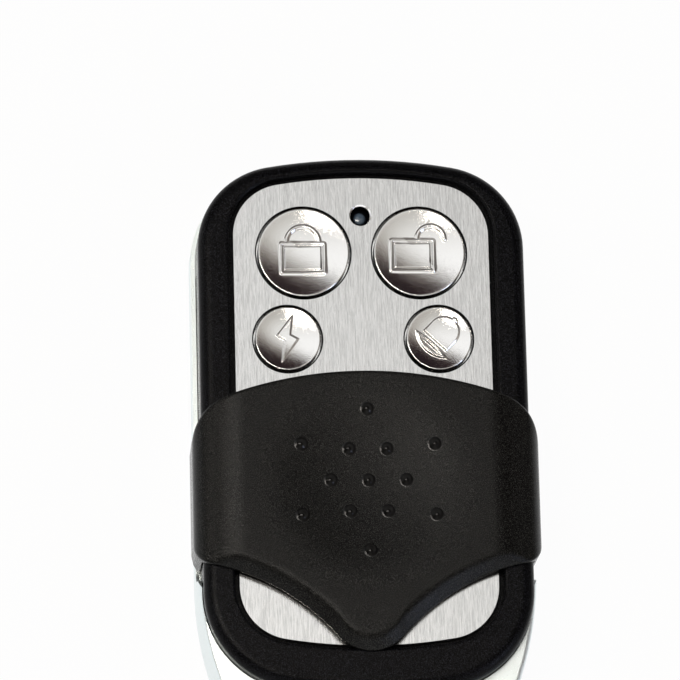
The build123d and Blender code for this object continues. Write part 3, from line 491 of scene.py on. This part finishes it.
print("upper edge falls by", round(float(apex_y - upper_edge(half)), 2), "mm to the side")

# %% [markdown]
# Across the cover, the skin is flat to its crest, then falls along a straight shoulder, and turns
# down into the side wall on a circle. The bevel is a second surface that rises from the lower edge.
# The cover is the lower of the two, blended where they meet, which is what rounds the crease. The
# thumb dish is a shallow bowl taken off that height.

# %% Height of the cover
skin_z, top_z, crest_in, shoulder_fall, shoulder_round, crest_soft = 12.25, 13.55, 4.0, 1.75, 2.4, 0.6
bevel_low_z, bevel_slope, crease_soft, low_soft, high_soft = skin_z + 0.25, 0.78, 0.4, 0.15, 0.3
dish_y, dish_radius, dish_depth, rim_soft = tip_y + 17.9, 9.2, 0.68, 0.3

crest_x = half - crest_in
shoulder_angle = np.arctan2(shoulder_fall, crest_in)
tangent = shoulder_round * np.tan((pi / 2 - shoulder_angle) / 2)
wall_top_z = top_z - shoulder_fall - tangent
arc_x = half - tangent * np.cos(shoulder_angle)


def across(x):
    """Height of the skin across the cover: flat, then a straight shoulder, then the wall's circle."""
    x = np.abs(x)
    slope = top_z - (x - crest_x) * np.tan(shoulder_angle)
    circle = wall_top_z + root(shoulder_round**2 - (x - half + shoulder_round) ** 2)
    return np.where(x < arc_x, soft_min(np.full_like(x, top_z), slope, crest_soft), circle)


def bowl(x, y, depth):
    """Depth of a shallow bowl: a ball's cap round the dish's middle, blended to zero at its rim."""
    ball = (dish_radius**2 + depth**2) / (2 * depth)
    cap = root(ball**2 - x**2 - (y - dish_y) ** 2) - (ball - depth)
    return (cap + np.sqrt(cap**2 + rim_soft**2)) / 2 - rim_soft**2 / 4


def skin_height(x, y, from_lower, from_upper):
    """Outer height: the lower of skin and bevel, with both cut edges rounded, less the dish."""
    height = soft_min(across(x), bevel_low_z + from_lower * bevel_slope, crease_soft)
    for distance_in, reach in ((from_lower, low_soft), (from_upper, high_soft)):
        inside = np.clip(distance_in / reach, 0, 1)
        height = height - reach * (1 - root(1 - (1 - inside) ** 2))
    return height - bowl(x, y, dish_depth)


print("shoulder falls at", round(float(np.degrees(shoulder_angle)), 1), "degrees")

# %% [markdown]
# The columns of the grid run lengthwise. Across, they are close together on the crest and on the
# wall's circle, where the shape turns, and then they go down the wall, where `wall_part` is the
# share of the way. Lengthwise, the rows are close together along the bevel. Their distances are
# measured square to the edge, so where the edge runs askew they are stretched along Y.

# %% Columns and rows of the cover
flat_x = np.linspace(0, crest_x - 0.6, 58)
crest = np.linspace(crest_x - 0.5, crest_x + 0.5, 14)
shoulder = np.linspace(crest_x + 0.65, arc_x, 14)
arc = np.linspace(np.arcsin((arc_x - half + shoulder_round) / shoulder_round), pi / 2, 22)[1:]
circle_x = half - shoulder_round + shoulder_round * np.sin(arc)
roof_x = np.concatenate([flat_x, crest, shoulder, circle_x])
wall_share = np.array([0.25, 0.5, 0.7, 0.742, 0.746, 0.88, 1.0])
half_x = np.concatenate([roof_x, np.full(len(wall_share), half)])
drop = np.concatenate([np.zeros(len(roof_x)), wall_share])
across_x = np.concatenate([-half_x[:0:-1], half_x])
wall_part = np.concatenate([drop[:0:-1], drop])[:, None]

band_low = np.array([0, .04, .09, .15, .24, .36, .5, .65, .8, .92, 1.02, 1.1, 1.17, 1.24, 1.3, 1.36,
                     1.42, 1.48, 1.55, 1.63, 1.74, 1.9, 2.15, 2.5, 3.0])
band_high = np.array([.8, .5, .3, .19, .12, .07, .03, 0])
middle = np.linspace(0, 1, 82)[1:-1]


def stretch(edge, x):
    """How much longer a step along Y is than the same step square to the edge, at most twice."""
    step = 0.01
    inside = np.clip(np.abs(x), step, half - step)
    return np.minimum(np.hypot(1, (edge(inside + step) - edge(inside - step)) / (2 * step)), 2.0)


print("grid", len(across_x), "by", len(band_low) + len(middle) + len(band_high))

# %% [markdown]
# The same columns, moved in by the wall's thickness, make the inside. It has a plain rounded roof,
# and its foot is drawn in to a lip, which runs in the groove of the case. The lip is shorter than
# the wall, so that it stays in the groove at both ends of the travel.

# %% Outside and inside of the cover
low_y, high_y = lower_edge(across_x)[:, None], upper_edge(across_x)[:, None]
low_stretch = stretch(lower_edge, across_x)[:, None]
high_stretch = stretch(upper_edge, across_x)[:, None]
rows_low = low_y + band_low * low_stretch
rows_high = high_y - band_high * high_stretch
rows_middle = rows_low[:, -1:] + (rows_high[:, :1] - rows_low[:, -1:]) * middle
outer_y = np.concatenate([rows_low, rows_middle, rows_high], axis=1)
outer_x = np.repeat(across_x[:, None], outer_y.shape[1], axis=1)
from_lower, from_upper = (outer_y - low_y) / low_stretch, (high_y - outer_y) / high_stretch
wall_z = wall_top_z - wall_part * (wall_top_z - foot_z)
outer_z = skin_height(outer_x, outer_y, from_lower, from_upper)
outer_z = np.where(np.abs(outer_x) == half, wall_z, outer_z)

wall, inner_fall, inner_round, inner_dish, lip_reach, lip_part = 0.8, 1.6, 1.6, 0.5, 0.9, 0.744
inner_half, inner_top_z, on_wall = half - wall, skin_z - inner_fall, wall_part > 0
inner_x = across_x[:, None] * inner_half / half
inner_low, inner_high = lower_edge(inner_x), upper_edge(inner_x)
inner_y = inner_low + (outer_y - low_y) / (high_y - low_y) * (inner_high - inner_low)
past_round = np.maximum(np.abs(inner_x) - inner_half + inner_round, 0)
roof_z = inner_top_z + root(inner_round**2 - past_round**2) - bowl(inner_x, inner_y, inner_dish)
inner_z = np.where(on_wall, inner_top_z - wall_part * (inner_top_z - foot_z), roof_z)
lip_low_y, lip_high_y = tip_y + wing_rise + 1.2, apex_y - 7.55
in_lip = (wall_part > lip_part) & (inner_y > lip_low_y) & (inner_y < lip_high_y)
inner_x = np.where(in_lip, np.sign(inner_x) * (inner_half - lip_reach), inner_x)
print("wall", wall, "mm, lips", round(lip_high_y - lip_low_y, 2), "mm long")

# %% [markdown]
# Outside and inside together form a tube that is closed by narrow strips along both cut edges. The
# points of a strip lie on the edge's own curve, so the cut looks straight down. At the feet of the
# two side walls the tube ends, and is closed by a row of faces and one larger face at each end.

# %% Mesh of the cover
strips = np.array([0.25, 0.5, 0.75])


def cut_strip(edge, row):
    """Points between outside and inside along a cut edge; each lies on the edge's own curve."""
    x = outer_x[:, [row]] + strips * (inner_x[:, [row]] - outer_x[:, [row]])
    z = outer_z[:, [row]] + strips * (inner_z[:, [row]] - outer_z[:, [row]])
    return np.stack([x, edge(x), z], axis=-1)


outer = np.stack([outer_x, outer_y, outer_z], axis=-1)
inner = np.stack([inner_x, inner_y, inner_z], axis=-1)
loops = [outer, cut_strip(upper_edge, -1), inner[:, ::-1], cut_strip(lower_edge, 0)[:, ::-1]]
cover_points = np.concatenate(loops, axis=1)
index = np.arange(cover_points.shape[0] * cover_points.shape[1]).reshape(cover_points.shape[:2])
rows, gap = outer.shape[1], len(strips)
quads, rings = [grid_faces(index, wrap=True)], []
for end, turn in ((0, 1), (-1, -1)):
    foot = index[end]
    out_row, in_row = foot[:rows], foot[rows + gap:2 * rows + gap][::-1]
    quads.append(grid_faces(np.stack([out_row, in_row]))[:, ::turn])
    rings.append(foot[rows - 1:rows + gap + 1][::-turn])
    rings.append(np.concatenate([in_row[:1], foot[-gap:], out_row[:1]])[::-turn])
cover_points, quads = cover_points.reshape(-1, 3), np.concatenate(quads)
cover = make_piece("sliding_cover", cover_points, quads, rings, FINISHES["black_abs"], sharp=50)
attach(cover, "slide")
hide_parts("slide_cover")

# %% [markdown]
# ## The dots in the thumb dish
#
# Thirteen raised dots give the thumb its grip: one in the middle, and two rings of six, slightly
# wider than long and turned against each other. Each is a low round swelling, a full wave of a
# cosine from rim to rim. They could be part of the cover's height, but then the cover's grid would
# have to be very fine. One small mesh of 13 turned profiles is lighter, and each ends a little
# below the bowl, so that no gap shows.

# %% Dots
dot_radius, dot_height, dot_sink, dots_up = 0.76, 0.27, 0.1, 0.2
near_ring, far_ring = (3.97, 3.87), (8.1, 7.6)
turns = np.radians(np.arange(6) * 60)
dot_x = np.concatenate([[0.0], near_ring[0] * np.cos(turns), far_ring[0] * np.cos(turns + pi / 6)])
dot_y = np.concatenate([[0.0], near_ring[1] * np.sin(turns), far_ring[1] * np.sin(turns + pi / 6)])
dot_y = dot_y + dish_y + dots_up
reach = dot_radius * np.append(np.linspace(0.02, 1, 13), 1.0)
around = np.linspace(0, 2 * pi, 28, endpoint=False)
x = dot_x[:, None, None] + reach[:, None] * np.cos(around)
y = dot_y[:, None, None] + reach[:, None] * np.sin(around)
swell = dot_height * (1 + np.cos(pi * reach / dot_radius)) / 2
z = top_z - bowl(x, y, dish_depth) + swell[:, None]
z[:, -1] -= dot_sink
dot_points = np.stack([x, y, z], axis=-1).reshape(-1, 3)
index = np.arange(x.size).reshape(x.shape)
quads = np.concatenate([grid_faces(one, wrap=True) for one in index])[:, ::-1]
rings = [one[0] for one in index] + [one[-1][::-1] for one in index]
dots = make_piece("thumb_dots", dot_points, quads, rings, FINISHES["dots"], sharp=60)
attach(dots, "slide")

# %% [markdown]
# ## Signs on the keys
#
# Each cap carries a raised sign: a closed padlock, an open one, a lightning bolt and a bell. A sign
# is described by how far a point is from its outline, negative inside. Such distances are easy to
# combine: a frame is a band of distances, and where two shapes meet the higher one is taken. The
# signs could be cut from curves and joined to the cap, but as heights on the cap's own grid they
# melt into the dish, as a plated relief does.

# %% Distances from simple shapes
def box_distance(x, y, middle, size, corner):
    """Distance from a rounded rectangle: from its sides outside, the larger of the two inside."""
    dx = np.abs(x - middle[0]) - size[0] / 2 + corner
    dy = np.abs(y - middle[1]) - size[1] / 2 + corner
    outside = np.hypot(np.maximum(dx, 0), np.maximum(dy, 0))
    return outside + np.minimum(np.maximum(dx, dy), 0) - corner


def band_inside(distance_to, width):
    """The band of this width just inside an outline."""
    return np.abs(distance_to + width / 2) - width / 2


def arch_distance(x, y, middle, radius, width):
    """Half a ring with its open side down, on legs of no length that end in half circles."""
    u, v = x - middle[0], y - middle[1]
    line = radius - width / 2
    ring = np.abs(np.hypot(u, v) - line)
    legs = np.hypot(np.abs(u) - line, np.maximum(-v, 0))
    return np.where(v > 0, ring, legs) - width / 2


def polygon_distance(x, y, corners):
    """Distance from a polygon: to the nearest side, negative where a ray crosses an odd number."""
    nearest, inside = np.full(x.shape, 1e9), np.zeros(x.shape, bool)
    for (ax, ay), (bx, by) in zip(corners, corners[1:] + corners[:1]):
        along = (x - ax) * (bx - ax) + (y - ay) * (by - ay)
        share = np.clip(along / ((bx - ax) ** 2 + (by - ay) ** 2), 0, 1)
        nearest = np.minimum(nearest, np.hypot(x - ax - share * (bx - ax), y - ay - share * (by - ay)))
        crosses = (ay > y) != (by > y)
        inside ^= crosses & (x < (bx - ax) * (y - ay) / (by - ay + 1e-12) + ax)
    return np.where(inside, -nearest, nearest)


print("middle of a 2 by 1 box is at", box_distance(0.0, 0.0, (0, 0), (2, 1), 0.0), "from its outline")

# %% [markdown]
# A padlock has a frame, a slightly raised panel inside it and a shackle. The bolt is a plain raised
# shape with six corners. The bell is tipped to the right: a domed body, a lens-shaped lip drawn as
# an outline, and a knob. Heights are in millimetres above the dish, and every edge slopes over
# 0.2 mm, as on a part that was plated.

# %% Relief of the signs
ridge, fine_ridge, edge_slope = 0.36, 0.3, 0.2


def raised(distance_to, height):
    """A plateau inside an outline: its edge is a straight slope, eased a little at top and bottom."""
    t = np.clip(0.5 - distance_to / edge_slope, 0, 1)
    return height * (0.6 * t + 0.4 * t * t * (3 - 2 * t))


def padlock(x, y, body_middle, body_size, arch_middle, arch_radius):
    """Frame, inner panel and shackle of a padlock."""
    body = box_distance(x, y, body_middle, body_size, 0.3)
    frame_height = np.maximum(raised(band_inside(body, ridge), 0.18), raised(body, 0.09))
    panel = raised(body + ridge + 0.12, 0.15)
    shackle = raised(arch_distance(x, y, arch_middle, arch_radius, ridge), 0.16)
    return np.maximum(np.maximum(frame_height, panel), np.where(body > -ridge / 2, shackle, 0))


def lock_sign(x, y):
    """Closed padlock: both ends of the shackle stand on the body."""
    return padlock(x, y, (-0.05, -0.6), (4.9, 3.6), (-0.05, 1.15), 1.92)


def unlock_sign(x, y):
    """Open padlock: the shackle stands to the right with one end free."""
    return padlock(x, y, (-0.7, -0.3), (4.8, 3.7), (1.24, 1.5), 1.64)


def bolt_sign(x, y):
    """A lightning bolt, raised evenly."""
    corners = [(0.53, 2.54), (-1.13, 0.39), (-0.33, -0.1), (-0.61, -2.46), (1.11, 0.01), (0.28, 0.47)]
    return raised(polygon_distance(x, y, corners), 0.16)


def bell_sign(x, y):
    """Bell tipped by 44 degrees: body, lip and knob."""
    turn, foot_x, foot_y = radians(-44), -0.85, -0.65
    u = (x - foot_x) * cos(turn) + (y - foot_y) * sin(turn)
    v = (y - foot_y) * cos(turn) - (x - foot_x) * sin(turn)
    dome = np.maximum(np.where(v > 2.0, np.hypot(u, v - 2.0), np.abs(u)) - 1.6, 0.62 - v)
    lens = np.maximum(np.hypot(u, v + 8.7) - 8.95, np.hypot(u, v - 2.3) - 3.13)
    knob = np.hypot(u, v - 3.6) - 0.3
    sign = np.maximum(raised(dome, 0.15), raised(band_inside(lens, fine_ridge), 0.18))
    return np.maximum(sign, raised(knob, 0.14))


SIGNS = {"lock": lock_sign, "unlock": unlock_sign, "bolt": bolt_sign, "bell": bell_sign}
print("signs", list(SIGNS))

# %% [markdown]
# ## The key caps
#
# A cap is a round button, dished for the fingertip. It could be one turned profile, but then its
# points would crowd at the middle and be too far apart for the sign further out. So a square grid
# is bent into a disc: squares round the middle become circles. From the disc's edge, the same
# profile goes all the way round: over the rounded rim, down the side, out along the flange that
# keeps the key in the case, and back to the middle underneath.

# %% Disc grid
def disc_grid(count):
    """A square grid bent into a unit disc: the larger coordinate is the radius, the ratio the angle."""
    side = np.linspace(-1, 1, count)
    a, b = np.meshgrid(side, side)
    wide = np.abs(a) > np.abs(b)
    large = np.where(wide, a, b)
    small = np.where(wide, b, a)
    angle = pi / 4 * small / np.where(large == 0, 1, large)
    angle = np.where(wide, angle, pi / 2 - angle)
    return large * np.cos(angle), large * np.sin(angle)


def rim_numbers(index):
    """Point numbers round the edge of a square grid, in order."""
    return np.concatenate([index[0, :-1], index[:-1, -1], index[-1, :0:-1], index[:0:-1, 0]])


print("a grid of 5 has a rim of", len(rim_numbers(np.zeros((5, 5)))), "points")

# %% [markdown]
# The dish is a ball's cap, 0.35 mm deep on the large keys and 0.28 mm on the small ones, and its
# edge runs softly into the flat rim. The sign is added to it.

# %% Caps
rim, flange_reach, flange_thick, under_radius, rim_ease = 0.13, 0.64, 0.6, 1.0, 0.02
large_from, large_dish, small_dish = 4.0, 0.35, 0.28


def key_cap(key, count):
    """One cap: dished face with its sign, rounded rim, side, flange and flat underside."""
    low, high = [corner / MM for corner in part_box(key + "_key")]
    middle_x, middle_y = (low.x + high.x) / 2, (low.y + high.y) / 2
    cap_radius = (high.x - low.x) / 2 - flange_reach
    depth = large_dish if cap_radius > large_from else small_dish
    face_radius, dish_edge, flange_z = cap_radius - rim, cap_radius - 0.1, low.z + flange_thick
    x, y = [face_radius * part for part in disc_grid(count)]
    ball = (dish_edge**2 + depth**2) / (2 * depth)
    dish = root(ball**2 - x**2 - y**2) - (ball - depth)
    dish = (dish + np.sqrt(dish**2 + rim_ease**2)) / 2
    z = high.z - dish + SIGNS[key](x, y)
    face = np.stack([x + middle_x, y + middle_y, z], axis=-1).reshape(-1, 3)
    index = np.arange(count * count).reshape(count, count)
    edge = rim_numbers(index)
    direction = np.stack([x.ravel()[edge], y.ravel()[edge]], axis=-1) / face_radius
    bend = np.radians([20, 40, 60, 75, 90])
    flange_radius = cap_radius + flange_reach
    below_r = [cap_radius, flange_radius, flange_radius, under_radius]
    profile_r = np.concatenate([face_radius + rim * np.sin(bend), below_r])
    below_z = [flange_z, flange_z, low.z, low.z]
    profile_z = np.concatenate([high.z - rim + rim * np.cos(bend), below_z])
    around = direction[None] * profile_r[:, None, None] + [middle_x, middle_y]
    sides = np.concatenate([around, np.repeat(profile_z[:, None, None], len(edge), axis=1)], axis=-1)
    numbers = len(face) + np.arange(len(profile_r) * len(edge)).reshape(len(profile_r), -1)
    skirt = grid_faces(np.vstack([edge, numbers]), wrap=True)[:, ::-1]
    points = np.concatenate([face, sides.reshape(-1, 3)])
    quads, ring = np.concatenate([grid_faces(index), skirt]), numbers[-1][::-1]
    cap = make_piece(key + "_cap", points, quads, [ring], FINISHES["plated_key"], sharp=60)
    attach(cap, key + "_press_key")
    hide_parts(key + "_key")


for key, count in (("lock", 190), ("unlock", 190), ("bolt", 150), ("bell", 150)):
    key_cap(key, count)

# %% [markdown]
# ## Floor, backdrop and light
#
# The fob lies on white card. Seen by the camera, or mirrored in the fob, the card is nearly pure
# white. A card that only glows would lose the fob's soft shadow, so it keeps a share of its own
# shading.

# %% Floor
floor_size, floor_z, white_share = 3000.0, -0.05, 0.95
corners = np.array([(-1, -1), (1, -1), (1, 1), (-1, 1)]) * floor_size / 2
floor_points = np.column_stack([corners, np.full(4, floor_z)]) * MM
floor_mesh = bpy.data.meshes.new("white_card")
floor_mesh.from_pydata(floor_points.tolist(), [], [(0, 1, 2, 3)])
floor = bpy.data.objects.new("white_card", floor_mesh)
bpy.context.collection.objects.link(floor)

card = bpy.data.materials.new("white_card_uncoated")
card.use_nodes = True
tree = card.node_tree
tree.nodes.clear()
paper = add(tree, "BsdfDiffuse", {"Color": linear("#fbfbfc")})
glow = add(tree, "Emission", {"Color": linear("#ffffff"), "Strength": 1.0})
ray, seen = add(tree, "LightPath"), 0.0
for kind in ("Is Camera Ray", "Is Glossy Ray", "Is Transmission Ray"):
    seen = add(tree, "Math", [seen, ray.outputs[kind]], operation="MAXIMUM")
share = add(tree, "Math", [seen, white_share], operation="MULTIPLY")
add(tree, "OutputMaterial", {"Surface": add(tree, "MixShader", [share, paper, glow])})
floor_mesh.materials.append(card)
print("card", floor_size / 1000, "m wide")

# %% [markdown]
# Bright plating is only as good as what it mirrors, so the sky is painted like a studio. A picture
# of a real room could be wrapped round the scene, but a few soft steps are easier to steer. Each
# light is a product of steps along a direction's x (right), y (the fob's top) and z (up), and
# where lights overlap the brighter one counts.
#
# Overhead is a large soft box. It ends towards the fob's top in darkness, with a sharp edge on the
# left and a soft one on the right, and this gives the caps their dark lower sides. It is dimmer
# towards the tail and to the right, and dark far to the left, where the cover's flank looks. Low
# down there is pale light again, and a belt of it at mid height. A white wall on the left and one at
# the tail's end give the signs their light lines.

# %% Brightness of the sky
world = bpy.data.worlds.new("studio")
world.use_nodes = True
bpy.context.scene.world = world
tree = world.node_tree
tree.nodes.clear()
direction = add(tree, "TexCoord").outputs["Generated"]
x, y, z = add(tree, "SeparateXYZ", [direction]).outputs
slant_axis = (0.447, 0.894, 0.0)
slant = add(tree, "VectorMath", [direction, slant_axis], operation="DOT_PRODUCT").outputs["Value"]


def soft_steps(*rows):
    """A product of soft steps: each row is a value, where its step starts and ends, and its levels."""
    product = 1.0
    for row in rows:
        step = add(tree, "MapRange", row, interpolation_type="SMOOTHSTEP")
        product = add(tree, "Math", [product, step], operation="MULTIPLY")
    return product


soft_end = soft_steps((slant, 0.27, 0.48, 1.0, 0.02))
sharp_end = soft_steps((slant, 0.35, 0.39, 1.0, 0.02))
box_end = add(tree, "Mix", {0: soft_steps((x, -0.1, 0.1, 1.0, 0.0)), 2: soft_end, 3: sharp_end})
box = soft_steps((y, -0.12, 0.31, 0.45, 1.0), (x, 0.12, 0.42, 1.0, 0.55), (x, -0.5, -0.4, 0.02, 1.0))
box = add(tree, "Math", [box, box_end], operation="MULTIPLY")
low_down = soft_steps((z, 0.05, 0.35, 0.9, 0.0), (x, 0.1, 0.4, 1.0, 0.2), (y, 0.2, 0.5, 1.0, 0.2))
belt = soft_steps((z, 0.22, 0.36, 0.0, 0.6), (z, 0.5, 0.66, 1.0, 0.0))
left_wall = soft_steps((x, -0.88, -0.8, 1.0, 0.0))
tail_wall = soft_steps((y, -0.8, -0.7, 1.0, 0.0))
brightness = 0.0
for light in (box, low_down, belt, left_wall, tail_wall):
    brightness = add(tree, "Math", [brightness, light], operation="MAXIMUM")
print(len(tree.nodes), "nodes give the sky its brightness")

# %% [markdown]
# A real room is not grey: its shadows are warm brown, so the brightness goes through a ramp of
# colours. The camera itself sees a plain white sky, which is the photograph's white background.

# %% Colour of the sky
STOPS = [(0.0, "#1e181b"), (0.1, "#3d3032"), (0.3, "#8a8078"), (0.6, "#cbc9c4"), (1.0, "#ffffff")]
ramp = add(tree, "ValToRGB", [brightness])
for place, _ in STOPS[2:]:
    ramp.color_ramp.elements.new(place)
for element, (place, colour) in zip(ramp.color_ramp.elements, STOPS):
    element.position, element.color = place, linear(colour)
sky = add(tree, "Background", {"Color": ramp, "Strength": 1.0})
plain = add(tree, "Background", {"Color": linear("#ffffff"), "Strength": 1.0})
seen = add(tree, "LightPath").outputs["Is Camera Ray"]
add(tree, "OutputWorld", {"Surface": add(tree, "MixShader", [seen, sky, plain])})
print("sky of", len(STOPS), "colours")

# %% [markdown]
# Two soft lamps are added. A long strip on the left gives every soft edge that turns left its thin
# highlight. A cool one low on the right puts a faint blue on the bevels that face it.

# %% Lamps
def lamp(name, place, size, power, colour):
    """A soft lamp that looks at the fob; place and size in millimetres, power in watts."""
    data = bpy.data.lights.new(name, "AREA")
    data.shape, data.size, data.size_y = "RECTANGLE", size[0] * MM, size[1] * MM
    data.energy, data.color = power, linear(colour)[:3]
    light = bpy.data.objects.new(name, data)
    bpy.context.collection.objects.link(light)
    light.location = Vector(place) * MM
    light.rotation_mode = "QUATERNION"
    light.rotation_quaternion = Vector(place).to_track_quat("Z", "Y")
    print(name, power, "W")


lamp("strip_lamp", (-205, 40, 600), (64, 440), 1.5, "#fff8ee")
lamp("cool_fill", (420, -300, 260), (160, 220), 0.5, "#d6e2ff")
bpy.context.scene.view_settings.view_transform = "Standard"
